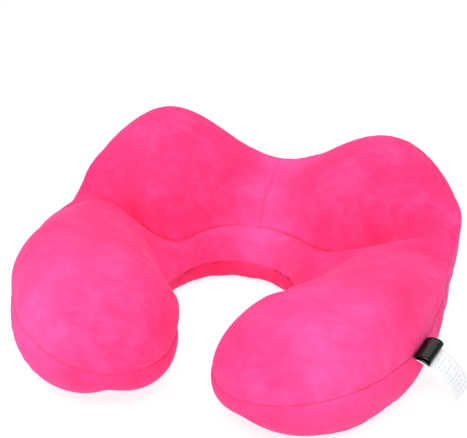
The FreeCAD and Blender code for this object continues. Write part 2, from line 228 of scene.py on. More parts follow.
# warp-faced satin ribbon: long floats that shine across the ribbon
satinBlack = makeWeave("blackSatin", ("#030303", "#08080a"), 0.5, 0.04, 0.30, sheen=0.0, specular=0.28)
enamelStuff = makeEnamel()
print("materials made")

# ---------- the pillow's form, the same cuts as the part's source ----------
# t, inner edge x y, outer edge x y, roll height, crease place and height, ridge place and height (mm)
cuts = [
    (0.0000, 0.0, 60.0, 0.0, 183.5, 58.0, -0.280, 49.0, 0.66, 105.0),
    (0.1667, 27.0, 55.0, 55.0, 184.0, 59.0, -0.380, 50.0, 0.70, 121.0),
    (0.3333, 56.0, 31.0, 142.0, 181.0, 64.0, -0.500, 52.0, 0.73, 151.0),
    (0.5000, 69.0, -2.0, 207.0, 150.0, 72.0, 0.250, 58.0, 0.82, 101.0),
    (0.5833, 70.0, -19.0, 212.0, 111.0, 80.0, 0.780, 72.0, 0.94, 82.0),
    (0.6667, 68.0, -34.0, 212.0, 68.0, 90.0, 0.965, 69.0, 0.985, 62.0),
    (0.8333, 58.0, -56.0, 213.0, -32.0, 110.0, 0.965, 65.0, 0.985, 59.0),
    (0.9167, 49.0, -66.0, 204.0, -90.0, 117.0, 0.965, 66.0, 0.985, 60.0),
    (1.0000, 39.0, -76.0, 183.0, -137.0, 120.0, 0.965, 66.0, 0.985, 60.0)]
form = {"tipLength": 101.0, "tipTurn": -10.0, "tipCentre": 0.47, "join": 0.60, "shift": (-18.0, 3.0, 0.0),
        "creaseRight": 15.0, "creaseLeft": 28.0, "creaseBack": 7.0,      # the sewn crease sits lower on the left than on the right
        "neckTuck": -7.0, "sway": 0.055, "saddleShift": 4.0, "armSpread": 7.5,
        "startInset": 0.6,      # the cover starts this far in and swells out again
        "bodyCells": 60,        # cells from the back centre to an arm's last cut
        "bandCells": 8,         # each half of the outer band
        "topCells": 30, "bottomCells": 20, "topTipRows": 12, "bottomTipRows": 17, "lowShare": 0.45}


def naturalSpline(xs, ys):
    xs, ys = np.asarray(xs, float), np.asarray(ys, float)
    gaps, count = np.diff(xs), len(xs)
    matrix, right = np.eye(count), np.zeros(count)
    for i in range(1, count - 1):
        matrix[i, i - 1:i + 2] = gaps[i - 1], 2 * (gaps[i - 1] + gaps[i]), gaps[i]
        right[i] = 6 * ((ys[i + 1] - ys[i]) / gaps[i] - (ys[i] - ys[i - 1]) / gaps[i - 1])
    bend = np.linalg.solve(matrix, right)

    def value(x):
        x = np.asarray(x, float)
        i = np.clip(np.searchsorted(xs, x, side="right") - 1, 0, count - 2)
        p = (xs[i + 1] - x) / gaps[i]
        q = 1 - p
        return p * ys[i] + q * ys[i + 1] + ((p ** 3 - p) * bend[i] + (q ** 3 - q) * bend[i + 1]) * gaps[i] ** 2 / 6
    return value


def mirroredColumns():
    columns = []
    for k in range(1, 10):
        sign = -1 if k in (1, 3) else 1
        columns.append(naturalSpline([-c[0] for c in cuts[:0:-1]] + [c[0] for c in cuts],
                                     [sign * c[k] for c in cuts[:0:-1]] + [c[k] for c in cuts]))
    return columns


cutColumns = mirroredColumns()


def guidePoints(half, h, nc, zc, nr, zr):
    b = float(smooth((zr - zc) / 35.0))
    inward = float(smooth((0.965 - nc) / 0.30))

    def mix(arm, back, share=b):
        return arm + (back - arm) * share
    w = nc + 1
    tuck = form["neckTuck"] / half * b      # the neck wall leans in under the top, at the back only
    points = [(-0.58 + tuck, 1.4), (0, -0.5), (0.58, 1.4), (0.90, mix(0.15 * h, 0.13 * zr)),
              (1, mix(0.40 * h, 0.38 * zr)),
              (mix(0.997, 0.965), mix(0.5 * (0.40 * h + zr), 0.70 * zr)), (nr, zr),
              (mix((nr + nc) / 2, nc + 0.25 * (nr - nc)),
               mix((zr + zc) / 2 + 0.15 * (nr - nc) * half, zc + 0.60 * (zr - zc))),
              (nc, zc), (mix(0.68, -1 + 0.78 * w, inward), mix(0.90 * h, h - 0.30 * (h - zc), inward)),
              (mix(0, -1 + 0.45 * w, inward), h), (mix(-0.68, -1 + 0.13 * w, inward), mix(0.88 * h, 0.78 * h)),
              (-1, 0.46 * h), (-0.90 + tuck, 0.15 * h)]
    return np.array([(n * half, z) for n, z in points])


def makeCut(t, inset=0.0):
    ix, iy, ox, oy, h, nc, zc, nr, zr = [float(column(t)) for column in cutColumns]
    half = math.hypot(ox - ix, oy - iy) / 2
    rise = form["creaseRight"] * math.exp(-((t - 0.59) / 0.08) ** 2)
    zc, zr = zc + rise, zr + rise
    left = form["creaseLeft"] * math.exp(-((t + 0.44) / 0.14) ** 2)
    fore = left + form["creaseBack"] * math.exp(-(t / 0.35) ** 2)
    nc, zc, h = nc - fore / half, zc - 0.30 * fore, h - 0.5 * left
    points = guidePoints(half, h, nc, zc, nr, zr)
    ahead, behind = np.roll(points, -1, 0), np.roll(points, 1, 0)
    along = (ahead - behind) / np.linalg.norm(ahead - behind, axis=1)[:, None]
    points = points + np.stack([-along[:, 1], along[:, 0]], 1) * inset
    wrapped = points[np.arange(-4, 19) % 14]
    steps = np.linalg.norm(np.diff(wrapped, axis=0), axis=1) ** 0.8
    run = np.concatenate([[0], np.cumsum(steps)])
    across, up = naturalSpline(run, wrapped[:, 0]), naturalSpline(run, wrapped[:, 1])
    centre, way = np.array([(ix + ox) / 2, (iy + oy) / 2]), np.array([(ox - ix) / 2 / half, (oy - iy) / 2 / half])

    def point(u):
        u = np.asarray(u, float) % 14
        i = np.floor(u).astype(int)
        w = run[i + 4] + (run[i + 5] - run[i + 4]) * (u - i)
        n = across(w)
        return np.stack([centre[0] + n * way[0], centre[1] + n * way[1], up(w)], -1)
    return {"point": point, "centre": centre, "way": way, "h": h}


def spreadAlong(cut, u0, u1, shares):
    # the u values that lie at the given shares of the length from u0 to u1
    fine = np.linspace(u0, u1, int(abs(u1 - u0) * 24) + 2)
    run = np.concatenate([[0], np.cumsum(np.linalg.norm(np.diff(cut["point"](fine), axis=0), axis=1))])
    return np.interp(np.asarray(shares) * run[-1], run, fine)


def splitShare(cut, t):
    # where the column that is the ridge at the back has got to, as a share of the outer band
    fine = np.linspace(3, 8, 121)
    run = np.concatenate([[0], np.cumsum(np.linalg.norm(np.diff(cut["point"](fine), axis=0), axis=1))])
    ridge = np.interp(6, fine, run) / run[-1]
    return ridge + (0.5 - ridge) * float(smooth((abs(t) - form["join"]) / 0.25))


def columnPlaces(cut, t):
    # u of every column, once round the section from the low outer seam
    split, n = splitShare(cut, t), form["bandCells"]
    shares = np.concatenate([np.linspace(0, split, n + 1)[:-1], np.linspace(split, 1, n + 1)])
    outer = spreadAlong(cut, 3, 8, shares)
    if abs(t) <= form["join"]:
        outer[n] = 6.0
    top = spreadAlong(cut, 8, 12, np.linspace(0, 1, form["topCells"] + 1))
    inner = spreadAlong(cut, 12, 13, np.linspace(0, 1, 2 * n + 1))
    bottom = spreadAlong(cut, 13, 17, np.linspace(0, 1, form["bottomCells"] + 1))
    return np.concatenate([outer[:-1], top[:-1], inner[:-1], bottom[:-1]])


def bodyRows():
    share = round(form["bodyCells"] * form["join"])
    half = np.concatenate([np.linspace(0, form["join"], share + 1)[:-1],
                           np.linspace(form["join"], 1, form["bodyCells"] - share + 1)])
    return np.concatenate([-half[:0:-1], half])


def tipPoint(cut, u, w, inset, side):
    turn = math.atan2(cut["way"][1], cut["way"][0]) - math.pi / 2 + math.radians(form["tipTurn"])
    centre = np.array([cut["centre"][0], cut["centre"][1], form["tipCentre"] * cut["h"]])
    reach = np.array([math.cos(turn), math.sin(turn), 0]) * (form["tipLength"] - inset)
    p = centre + (cut["point"](u) - centre) * np.cos(w)[..., None] + reach * np.sin(w)[..., None]
    return p * np.array([side, 1, 1])


def bodyPoint(t, u, inset=0.0):
    return makeCut(t, inset)["point"](u)


def skinPoint(t, u):
    # a point of the finished skin in the frame, in metres
    cut = makeCut(min(max(t, -1), 1))
    return Vector((cut["point"](np.array([u]))[0] + np.array(form["shift"])) * mm)


def halfDisc(columns, rows):
    s, r = np.meshgrid(np.linspace(1, -1, columns + 1), np.linspace(0, 1, rows + 1), indexing="ij")
    return s * np.sqrt(1 - r * r / 2), r * np.sqrt(1 - s * s / 2)


def ringAngles(columns, rows):
    a, b = halfDisc(columns, rows)
    edge = [(a[0, k], b[0, k]) for k in range(rows)] + [(a[j, rows], b[j, rows]) for j in range(columns)] + \
           [(a[columns, k], b[columns, k]) for k in range(rows, -1, -1)]
    return np.array([math.atan2(y, x) for x, y in edge])


def roundTheTip(polar, angle):
    # (polar angle from the top or bottom, angle round the tip) as (turn of the section, sweep to the tip)
    sweep = np.arcsin(np.clip(np.sin(polar) * np.sin(angle), -1, 1))
    turn = np.arctan2(np.sin(polar) * np.cos(angle), np.cos(polar))
    return turn / (math.pi / 2), sweep


def lowerPlace(cut, share):
    # section place of a share of the lower half: 1 the outer seam, 0 under the middle, -1 the inner seam
    low, share = form["lowShare"], np.asarray(share)
    outer = spreadAlong(cut, 3, 8, np.clip((share - low) / (1 - low), 0, 1))
    inner = spreadAlong(cut, 13, 12, np.clip((-share - low) / (1 - low), 0, 1))
    under = spreadAlong(cut, 17, 13, np.clip((1 - share / low) / 2, 0, 1))
    return np.where(share >= low, outer, np.where(share <= -low, inner, under))


panelNames = ["topPanel", "neckBand", "bottomPanel", "sideBandLeft", "sideBandRight", "backPanel",
              "backrestFrontLeft", "backrestFrontRight"]


def addGrid(store, points, panel, flip=False, close=False):
    # points[row][column]; panel is a name or a function of (row, column)
    start, (rows, columns) = len(store["points"]), points.shape[:2]
    store["points"].extend(points.reshape(-1, 3))
    for i in range(rows - 1):
        for j in range(columns if close else columns - 1):
            k = (j + 1) % columns
            face = [start + i * columns + j, start + (i + 1) * columns + j,
                    start + (i + 1) * columns + k, start + i * columns + k]
            store["faces"].append(face[::-1] if flip else face)
            store["panels"].append(panelNames.index(panel if isinstance(panel, str) else panel(i, j)))


def buildCover(inset):
    store = {"points": [], "faces": [], "panels": []}
    ts, n = bodyRows(), form["bandCells"]
    body = []
    for t in ts:
        cut = makeCut(t, inset)
        body.append(cut["point"](columnPlaces(makeCut(t), t)))

    def bodyPanel(i, j):
        t = (ts[i] + ts[i + 1]) / 2
        sideName = "Left" if t < 0 else "Right"
        if j < 2 * n:
            if abs(t) > form["join"]:
                return "sideBand" + sideName
            return "backPanel" if j < n else "backrestFront" + sideName
        j -= 2 * n
        if j < form["topCells"]:
            return "topPanel"
        return "neckBand" if j < form["topCells"] + 2 * n else "bottomPanel"
    addGrid(store, np.array(body), bodyPanel, close=True)
    cut, plain = makeCut(1.0, inset), makeCut(1.0)
    topRing = ringAngles(form["topCells"], form["topTipRows"])
    lowRing = ringAngles(form["bottomCells"], form["bottomTipRows"])
    for side in (-1, 1):
        a, b = halfDisc(form["topCells"], form["topTipRows"])
        share, sweep = roundTheTip(np.hypot(a, b) * math.pi / 2, np.arctan2(b, a))
        u = spreadAlong(plain, 8, 12, (1 - share) / 2)
        addGrid(store, tipPoint(cut, u, sweep, inset, side), "topPanel", flip=side > 0)
        a, b = halfDisc(form["bottomCells"], form["bottomTipRows"])
        share, sweep = roundTheTip(np.hypot(a, b) * math.pi / 2 * form["lowShare"], np.arctan2(b, a))
        addGrid(store, tipPoint(cut, lowerPlace(plain, share), sweep, inset, side), "bottomPanel", flip=side < 0)
        levels = np.linspace(0, 1, 2 * n + 1)
        angle = lowRing[:, None] + (topRing - lowRing)[:, None] * levels[None, :]
        polar = (form["lowShare"] + (1 - form["lowShare"]) * levels)[None, :] * math.pi / 2
        share, sweep = roundTheTip(np.broadcast_to(polar, angle.shape), angle)
        ring = tipPoint(cut, lowerPlace(plain, share), sweep, inset, side)
        sideName = "sideBandLeft" if side < 0 else "sideBandRight"
        addGrid(store, ring, sideName, flip=side < 0)
    return store


def weldedMesh(store):
    mesh = bpy.data.meshes.new("coverStart")
    points = np.array(store["points"])
    x, y, z = points.T
    wide = form["armSpread"] * (np.exp(-((y + 62) / 55) ** 2) - 0.6 * np.exp(-((y - 78) / 36) ** 2))
    x += wide * np.tanh((x + 128) / 40) * smooth(-x / 30) * smooth((z - 56) / 14)
    x += form["saddleShift"] * np.exp(-(x / 70) ** 2) * smooth((z - 75) / 35)
    x += form["sway"] * (z - 50)      # the humps lean a little to the right
    points = (points + np.array(form["shift"])) * mm
    mesh.from_pydata([tuple(p) for p in points], [], store["faces"])
    layer = mesh.attributes.new("panel", "INT", "FACE")
    layer.data.foreach_set("value", store["panels"])
    work = bmesh.new()
    work.from_mesh(mesh)
    bmesh.ops.remove_doubles(work, verts=work.verts, dist=0.1 * mm)
    bmesh.ops.recalc_face_normals(work, faces=work.faces)
    work.to_mesh(mesh)
    work.free()
    return mesh


def meshPoints(mesh):
    out = np.empty(len(mesh.vertices) * 3)
    mesh.vertices.foreach_get("co", out)
    return out.reshape(-1, 3)


def faceTable(mesh):
    corners = np.empty(len(mesh.loops), int)
    mesh.loops.foreach_get("vertex_index", corners)
    starts, sizes = np.empty(len(mesh.polygons), int), np.empty(len(mesh.polygons), int)
    mesh.polygons.foreach_get("loop_start", starts)
    mesh.polygons.foreach_get("loop_total", sizes)
    return [corners[s:s + n] for s, n in zip(starts, sizes)]


def panelOf(mesh):
    out = np.empty(len(mesh.polygons), int)
    mesh.attributes["panel"].data.foreach_get("value", out)
    return out


def seamVertices(mesh):
    # vertices where two panels meet, each with the set of panels there
    panels, meeting = panelOf(mesh), {}
    for face, panel in zip(faceTable(mesh), panels):
        for v in face:
            meeting.setdefault(int(v), set()).add(int(panel))
    return {v: kinds for v, kinds in meeting.items() if len(kinds) > 1}


# ---------- swelling the cover over its air bladder ----------
swell = {"pressure": 4.0, "frames": 20, "capMm": 4.5, "restMm": 3.0, "spare": -0.012,
         "stiffness": 14.0, "bending": 0.8}


def swellCover(mesh):
    piece = bpy.data.objects.new("coverWork", mesh)
    scene.collection.objects.link(piece)
    start = meshPoints(mesh)
    held = piece.vertex_groups.new(name="held")
    seams = seamVertices(mesh)
    held.add([v for v in seams], 1.0, "REPLACE")
    held.add([int(i) for i in np.where(start[:, 2] < swell["restMm"] * mm)[0]], 1.0, "REPLACE")
    cloth = piece.modifiers.new("cloth", "CLOTH")
    s = cloth.settings
    s.quality, s.mass = 7, 0.3
    s.tension_stiffness = s.compression_stiffness = swell["stiffness"]
    s.shear_stiffness, s.bending_stiffness = 5.0, swell["bending"]
    s.use_pressure, s.uniform_pressure_force = True, swell["pressure"]
    s.effector_weights.gravity = 0.0
    s.vertex_group_mass, s.pin_stiffness = "held", 1.0
    s.shrink_min = swell["spare"]
    cloth.collision_settings.use_collision = False
    cloth.point_cache.frame_start, cloth.point_cache.frame_end = 1, swell["frames"]
    for f in range(1, swell["frames"] + 1):
        scene.frame_set(f)
    done = meshPoints(piece.evaluated_get(bpy.context.evaluated_depsgraph_get()).to_mesh())
    move = done - start
    size = np.linalg.norm(move, axis=1)
    cap = swell["capMm"] * mm
    move *= np.where(size > 0, cap * np.tanh(size / cap) / np.maximum(size, 1e-9), 0)[:, None]
    piece.modifiers.remove(cloth)
    scene.frame_set(1)
    bpy.data.objects.remove(piece)
    mesh.vertices.foreach_set("co", (start + move).ravel())
    print("cover swelled, mean move %.2f mm, most %.2f mm" % (size.mean() / mm, size.max() / mm))


def subdivided(mesh, levels):
    piece = bpy.data.objects.new("coverFine", mesh)
    scene.collection.objects.link(piece)
    sub = piece.modifiers.new("sub", "SUBSURF")
    sub.levels = sub.render_levels = levels
    depsgraph = bpy.context.evaluated_depsgraph_get()
    fine = bpy.data.meshes.new_from_object(piece.evaluated_get(depsgraph))
    bpy.data.objects.remove(piece)
    return fine


# ---------- seams, gathers and soft dents ----------
seamLook = {"stitchDepthMm": 0.9, "stitchWidthMm": 1.7, "rollDepthMm": 0.5, "rollWidthMm": 9.0,
            "gatherMm": 0.5, "gatherReachMm": 15.0, "gatherPitchMm": 9.0,
            "dentMm": 1.0, "dentSizeMm": 70.0}
# sunken folds on the skin, each from (t, u) to (t, u), depth and half width in mm
folds = [((0.075, 9.2), (0.085, 11.2), 2.6, 5.0), ((-0.14, 10.4), (-0.10, 12.2), 1.8, 5.0),
         ((0.20, 11.4), (0.18, 12.8), 2.2, 4.0), ((0.27, 9.6), (0.26, 12.7), 2.6, 4.5)]


def noiseAt(points, sizeMm, seed):
    scale = 1 / (sizeMm * mm)
    offset = Vector((seed * 17.3, seed * 5.1, seed * 9.7))
    return np.array([noise.noise(Vector(p) * scale + offset) for p in points])


def finishSkin(mesh):
    points = meshPoints(mesh)
    normals = np.empty(len(mesh.vertices) * 3)
    mesh.vertices.foreach_get("normal", normals)
    normals = normals.reshape(-1, 3)
    seams = seamVertices(mesh)
    order = sorted(seams)
    tree = KDTree(len(order))
    for i, v in enumerate(order):
        tree.insert(points[v], i)
    tree.balance()
    back = {panelNames.index(n) for n in ("backrestFrontLeft", "backrestFrontRight")}
    top = panelNames.index("topPanel")
    crease = np.array([1.0 if (seams[v] & back and top in seams[v]) else 0.0 for v in order])
    seamPoints = points[order]
    gather = np.abs(noiseAt(seamPoints, seamLook["gatherPitchMm"], 1)) * 2.2 - 0.5
    gather = gather * (0.6 + 0.8 * np.clip(noiseAt(seamPoints, 60, 2) + 0.4, 0, 1))
    distance, pull, inCrease = np.empty(len(points)), np.empty(len(points)), np.empty(len(points))
    for i, p in enumerate(points):
        near = tree.find_n(p, 3)
        weights = [1 / (d + 0.4 * mm) for _, _, d in near]
        total = sum(weights)
        distance[i] = near[0][2]
        pull[i] = sum(w * gather[k] for w, (_, k, _) in zip(weights, near)) / total
        inCrease[i] = sum(w * crease[k] for w, (_, k, _) in zip(weights, near)) / total
    d = distance / mm
    look = seamLook
    down = look["stitchDepthMm"] * np.exp(-(d / look["stitchWidthMm"]) ** 2) * (1 - 0.5 * inCrease)
    down += look["rollDepthMm"] * np.exp(-(d / look["rollWidthMm"]) ** 2) * (1 - 0.9 * inCrease)
    ripple = look["gatherMm"] * pull * np.exp(-d / look["gatherReachMm"]) * (1 - np.exp(-(d / 2.5) ** 2))
    dents = noiseAt(points, look["dentSizeMm"], 3) * look["dentMm"] * smooth(d / 25)
    lift = -down + ripple * (1 - 0.5 * inCrease) + dents
    lift *= np.where(points[:, 2] < 4 * mm, 0.35, 1.0)
    for (t0, u0), (t1, u1), depth, width in folds:
        line = [np.array(skinPoint(t0 + (t1 - t0) * k / 14, u0 + (u1 - u0) * k / 14)) for k in range(15)]
        fade = [math.sin(math.pi * (k + 0.5) / 15) for k in range(15)]
        gap = np.stack([np.linalg.norm(points - p, axis=1) for p in line])
        nearest = gap.argmin(0)
        lift -= depth * np.exp(-(gap.min(0) / mm / width) ** 2) * np.array(fade)[nearest]
    points = points + normals * (lift * mm)[:, None]
    points[:, 2] = np.maximum(points[:, 2], 0.2 * mm)
    mesh.vertices.foreach_set("co", points.ravel())
    mesh.update()
    return points[order], normals[order], [seams[v] for v in order]


def splitPanels(mesh, replaced):
    points, panels, faces = meshPoints(mesh), panelOf(mesh), faceTable(mesh)
    pieces = {}
    for k, name in enumerate(panelNames):
        mine = [faces[i] for i in np.where(panels == k)[0]]
        used = np.unique(np.concatenate(mine))
        place = {int(v): i for i, v in enumerate(used)}
        cloth = panelCloth.get(name, velour)
        piece = addPiece(name, points[used], [[place[int(v)] for v in f] for f in mine], cloth)
        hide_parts(replaced[name])
        pieces[name] = piece
    return pieces


coverNodes = {"topPanel": "top_panel", "neckBand": "neck_band", "bottomPanel": "bottom_panel",
              "sideBandLeft": "side_band_left", "sideBandRight": "side_band_right", "backPanel": "back_panel",
              "backrestFrontLeft": "backrest_front_left", "backrestFrontRight": "backrest_front_right"}
coverMesh = weldedMesh(buildCover(form["startInset"]))
print("cover grid: %d points, %d faces" % (len(coverMesh.vertices), len(coverMesh.polygons)))
swellCover(coverMesh)
fineMesh = subdivided(coverMesh, 2)
seamPoints, seamNormals, seamKinds = finishSkin(fineMesh)
coverPieces = splitPanels(fineMesh, coverNodes)
print("cover panels made")

# ---------- openings in the cover: zip slot and valve hole ----------
zipLook = {"half": 100.0, "z": 40.0, "slotHigh": 6.4, "pitchMm": 1.35}
clothThick = 1.5


def cutSlot(piece):
    half, z, high = zipLook["half"], zipLook["z"], zipLook["slotHigh"] / 2
    shift = form["shift"]
    work = bmesh.new()
    work.from_mesh(piece.data)
    planes = [((shift[0] - half, 0, 0), (1, 0, 0)), ((shift[0] + half, 0, 0), (1, 0, 0)),
              ((0, 0, z - high), (0, 0, 1)), ((0, 0, z + high), (0, 0, 1))]
    for spot, way in planes:
        near = [f for f in work.faces if f.calc_center_median().y > 0.165
                and abs(f.calc_center_median().z - z * mm) < 12 * mm]
        geometry = near + list({e for f in near for e in f.edges}) + list({v for f in near for v in f.verts})
        bmesh.ops.bisect_plane(work, geom=geometry, plane_co=Vector(spot) * mm, plane_no=way, dist=1e-7)
    gone = []
    for f in work.faces:
        c = f.calc_center_median() / mm
        if abs(c.x - shift[0]) < half and abs(c.z - z) < high and c.y > 165:
            gone.append(f)
    bmesh.ops.delete(work, geom=gone, context="FACES")
    work.to_mesh(piece.data)
    work.free()


def cutValveHole(piece, centre, radius):
    work = bmesh.new()
    work.from_mesh(piece.data)
    gone = [f for f in work.faces if f.calc_center_median().x < 0 and
            math.hypot(f.calc_center_median().y - centre.y, f.calc_center_median().z - centre.z) < radius * mm]
    bmesh.ops.delete(work, geom=gone, context="FACES")
    loops = {v for e in work.edges if e.is_boundary for v in e.verts}
    for v in loops:
        gap = math.hypot(v.co.y - centre.y, v.co.z - centre.z)
        if gap < (radius + 3) * mm and v.co.x < 0:
            v.co.y = centre.y + (v.co.y - centre.y) / gap * radius * mm
            v.co.z = centre.z + (v.co.z - centre.z) / gap * radius * mm
    work.to_mesh(piece.data)
    work.free()


valveLow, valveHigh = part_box("valve_cap")
capLow, capHigh = Vector(valveLow), Vector(valveHigh)
flapLow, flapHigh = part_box("valve_flap")
valveCentre = (Vector(flapLow) + Vector(flapHigh)) / 2
cutSlot(coverPieces["backPanel"])
cutValveHole(coverPieces["sideBandLeft"], valveCentre, 13.0)
for piece in coverPieces.values():
    thick = piece.modifiers.new("cloth", "SOLIDIFY")
    thick.thickness, thick.offset = clothThick * mm, -1.0
print("openings cut")

# ---------- air bladder under the cover ----------
bladder = {"inset": 9.0, "rows": 48}


def chamber(name, node, t0, t1, u0, u1, columns):
    ts = np.linspace(max(t0, -1), min(t1, 1), bladder["rows"] * 2 + 1)
    rows = []
    if t0 < -1:
        rows += [(-1, w) for w in np.linspace((abs(t0) - 1) * math.pi / 2, 0, 9)[:-1]]
    rows += [(t, None) for t in ts]
    if t1 > 1:
        rows += [(1, w) for w in np.linspace(0, (t1 - 1) * math.pi / 2, 9)[1:]]
    grid = []
    for t, w in rows:
        cut = makeCut(abs(t) if w is not None else t, bladder["inset"])
        u = spreadAlong(cut, u0, u1, np.linspace(0, 1, columns + 1))
        grid.append(cut["point"](u) if w is None else
                    tipPoint(cut, u, np.full(u.shape, w), bladder["inset"], t))
    grid = (np.array(grid) + np.array(form["shift"])) * mm
    count, wide = grid.shape[:2]
    faces = [(i * wide + j, (i + 1) * wide + j, (i + 1) * wide + (j + 1) % wide, i * wide + (j + 1) % wide)
             for i in range(count - 1) for j in range(wide)]
    faces += [tuple(range(wide)), tuple((count - 1) * wide + j for j in range(wide))[::-1]]
    piece = addPiece(name, grid.reshape(-1, 3), faces, filmStuff)
    work = bmesh.new()
    work.from_mesh(piece.data)
    bmesh.ops.recalc_face_normals(work, faces=work.faces)
    work.to_mesh(piece.data)
    work.free()
    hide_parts(node)
    return piece


airRing = chamber("airRing", "bladder_ring", -1.88, 1.88, 8.0, 17.6, 34)
airBackrest = chamber("airBackrest", "bladder_backrest", 0.03 - form["join"], form["join"] - 0.03, 4.2, 7.75, 18)
print("bladder made")


# ---------- zip ----------
def capsuleRow(name, centres, ways, length, radius, material, sides=6):
    points, faces = [], []
    for centre, way in zip(centres, ways):
        way = Vector(way).normalized()
        first = way.orthogonal().normalized()
        second = way.cross(first)
        start = len(points)
        rings = [(-0.5, 0.35), (-0.42, 0.8), (-0.25, 1.0), (0.25, 1.0), (0.42, 0.8), (0.5, 0.35)]
        for along, width in rings:
            for k in range(sides):
                angle = 2 * math.pi * k / sides
                points.append(Vector(centre) + way * along * length + (first * math.cos(angle) +
                              second * math.sin(angle)) * radius * width)
        for i in range(len(rings) - 1):
            for k in range(sides):
                m = (k + 1) % sides
                faces.append((start + i * sides + k, start + i * sides + m,
                              start + (i + 1) * sides + m, start + (i + 1) * sides + k))
        faces.append(tuple(start + k for k in range(sides))[::-1])
        faces.append(tuple(start + (len(rings) - 1) * sides + k for k in range(sides)))
    return addPiece(name, points, faces, material)


def makeTape(name, node):
    low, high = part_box(node)
    across, along = 5, 90
    points, faces, places = [], [], []
    for side in (0, 1):
        for i in range(along + 1):
            for j in range(across + 1):
                x = low[0] + (high[0] - low[0]) * i / along
                z = low[2] + (high[2] - low[2]) * j / across
                wave = 0.12 * mm * math.sin(i * 1.7) * (j / across)
                y = (high[1] if side else low[1]) + wave * (1 if side else 0)
                points.append((x, y, z))
                places.append((x, z))
    wide, count = across + 1, (along + 1) * (across + 1)
    for i in range(along):
        for j in range(across):
            a, b, c, d = i * wide + j, (i + 1) * wide + j, (i + 1) * wide + j + 1, i * wide + j + 1
            faces += [(a, b, c, d), (a + count, d + count, c + count, b + count)]
    rim = [i * wide for i in range(along + 1)] + [along * wide + j for j in range(1, wide)] + \
          [i * wide + across for i in range(along - 1, -1, -1)] + [j for j in range(across - 1, 0, -1)]
    for k, a in enumerate(rim):
        b = rim[(k + 1) % len(rim)]
        faces.append((a, a + count, b + count, b))
    piece = addPiece(name, points, faces, tapeStuff)
    layer = piece.data.uv_layers.new(name="weave")
    for loop in piece.data.loops:
        layer.data[loop.index].uv = places[loop.vertex_index]
    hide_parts(node)
    return piece


zipTapeUpper = makeTape("zipTapeUpper", "zip_tape_upper")
zipTapeLower = makeTape("zipTapeLower", "zip_tape_lower")
coilLow, coilHigh = [Vector(v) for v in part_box("zip_coil")]
teeth = int((coilHigh.x - coilLow.x) / (zipLook["pitchMm"] * mm))
toothPlaces, toothWays = [], []
for k in range(teeth):
    x = coilLow.x + (k + 0.5) * (coilHigh.x - coilLow.x) / teeth
    lean = 0.35 if k % 2 else -0.35
    toothPlaces.append(Vector((x, (coilLow.y + coilHigh.y) / 2 + 0.2 * mm, (coilLow.z + coilHigh.z) / 2 +
                               (0.45 if k % 2 else -0.45) * mm)))
    toothWays.append((lean * 0.4, 0.0, 1.0))
zipCoil = capsuleRow("zipCoil", toothPlaces, toothWays, 2.6 * mm, 0.62 * mm, coilStuff)
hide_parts("zip_coil")
for node in ("zip_stop_left", "zip_stop_right", "zip_slider", "zip_pull"):
    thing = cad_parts[node]
    thing.data.materials.clear()
    thing.data.materials.append(coilStuff if "stop" in node else enamelStuff)
    soft = thing.modifiers.new("edges", "BEVEL")
    soft.width, soft.segments, soft.limit_method, soft.angle_limit = 0.25 * mm, 2, "ANGLE", math.radians(40)
print("zip made")

# ---------- valve ----------
for node in ("valve_body", "valve_flap", "valve_cap"):
    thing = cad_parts[node]
    thing.data.materials.clear()
    thing.data.materials.append(valveStuff)
print("valve dressed")

# ---------- sewing thread in the seams ----------
stitch = {"pitchMm": 2.9, "longMm": 1.7, "thickMm": 0.32, "proudMm": 0.12, "footMm": 1.1}


def seamRuns(kinds):
    # seam points of one kind, put in order along the seam, as lists of (point, normal)
    chosen = [i for i, panels in enumerate(seamKinds) if kinds <= {panelNames[k] for k in panels}]
    left, runs = {i: Vector(seamPoints[i]) for i in chosen}, []
    while left:
        start = min(left, key=lambda i: (round(left[i].y, 4), left[i].x))
        run = [start]
        del left[start]
        while left:
            last = Vector(seamPoints[run[-1]])
            near = min(left, key=lambda i: (left[i] - last).length_squared)
            if (left[near] - last).length > 5 * mm:
                break
            run.append(near)
            del left[near]
        if len(run) > 20:
            runs.append(run)
    return runs


def sewSeam(name, kinds):
    centres, ways = [], []
    for run in seamRuns(kinds):
        spots = np.array([seamPoints[i] for i in run])
        ups = np.array([seamNormals[i] for i in run])
        length = np.concatenate([[0], np.cumsum(np.linalg.norm(np.diff(spots, axis=0), axis=1))])
        for k in range(int(length[-1] / (stitch["pitchMm"] * mm))):
            at = (k + 0.5) * stitch["pitchMm"] * mm
            place = [np.interp(at, length, spots[:, c]) for c in range(3)]
            up = Vector([np.interp(at, length, ups[:, c]) for c in range(3)]).normalized()
            ahead = Vector([np.interp(at + 1 * mm, length, spots[:, c]) for c in range(3)]) - Vector(place)
            centres.append(Vector(place) + up * stitch["proudMm"] * mm)
            ways.append(ahead.normalized() if ahead.length > 0 else Vector((1, 0, 0)))
    return capsuleRow(name, centres, ways, stitch["longMm"] * mm, stitch["thickMm"] * mm, threadStuff)


for name, kinds in (("stitchesLeftArm", {"topPanel", "sideBandLeft"}), ("stitchesRightArm", {"topPanel", "sideBandRight"}),
                    ("stitchesNeck", {"topPanel", "neckBand"}), ("stitchesCreaseLeft", {"topPanel", "backrestFrontLeft"}),
                    ("stitchesCreaseRight", {"topPanel", "backrestFrontRight"}),
                    ("stitchesRidgeLeft", {"backPanel", "backrestFrontLeft"}),
                    ("stitchesRidgeRight", {"backPanel", "backrestFrontRight"})):
    sewSeam(name, kinds)
print("seams sewn")

